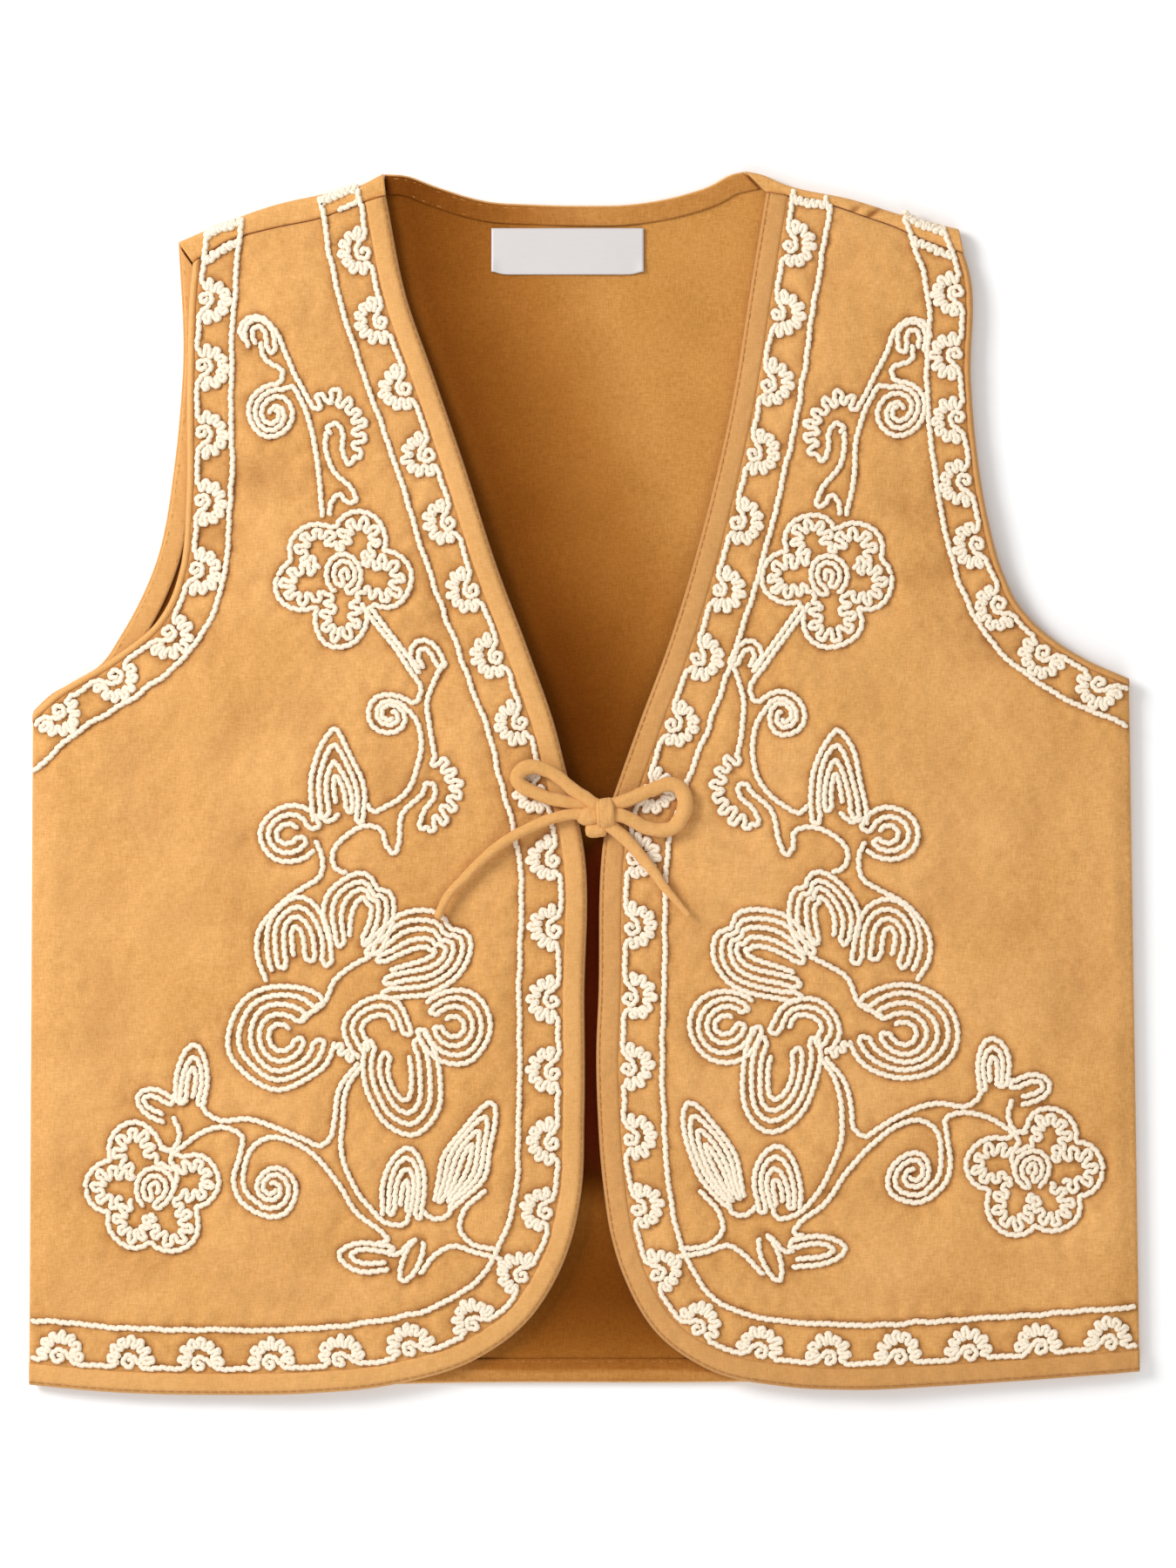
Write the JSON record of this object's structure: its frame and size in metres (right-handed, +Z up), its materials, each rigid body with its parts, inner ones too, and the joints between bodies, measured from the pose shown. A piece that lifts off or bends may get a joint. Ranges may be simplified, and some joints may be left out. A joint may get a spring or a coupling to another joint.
{
  "type": "waistcoat",
  "caption": "Small child's cotton waistcoat laid flat, open V front tied with a bow, bound edges and cord embroidery of flowers and leaves",
  "frame": {"origin": "on the surface that the waistcoat lies on, under the centre of its outline", "axes": "+Y runs up the garment to the collar, +Z points up out of the front, +X is to the right as seen from the front"},
  "size_m": [0.3446, 0.3798, 0.0151],
  "materials": {
    "shell": "matte plain-weave ochre cotton over thin wadding",
    "lining": "matte plain-weave ochre cotton lining, in shade",
    "binding": "matte folded ochre cotton with edge stitching",
    "facing": "matte ochre cotton strip, stitched along both edges",
    "label": "pale satin ribbon, bare",
    "embroidery": "cream cotton chain-stitch cord"
  },
  "bodies": {
    "root": {"back": "lining", "front_left": "shell", "front_right": "shell", "edge_band_left": "binding", "edge_band_right": "binding", "armhole_band_left": "binding", "armhole_band_right": "binding", "neck_facing": "facing", "armhole_facing_left": "facing", "hem_facing": "facing", "label": "label", "tie_loop_left": "binding", "tie_tail_left": "binding", "tie_loop_right": "binding", "tie_tail_right": "binding", "tie_root": "binding", "tie_knot": "binding", "border_near_left": "embroidery", "border_far_left": "embroidery", "armhole_border_left": "embroidery", "bloom_left": "embroidery", "upper_flower_left": "embroidery", "side_flower_left": "embroidery", "upper_stem_left": "embroidery", "middle_stem_left": "embroidery", "lower_stem_left": "embroidery", "side_stem_left": "embroidery", "border_near_right": "embroidery", "border_far_right": "embroidery", "armhole_border_right": "embroidery", "bloom_right": "embroidery", "upper_flower_right": "embroidery", "side_flower_right": "embroidery", "upper_stem_right": "embroidery", "middle_stem_right": "embroidery", "lower_stem_right": "embroidery", "side_stem_right": "embroidery"}
  },
  "joints": []
}
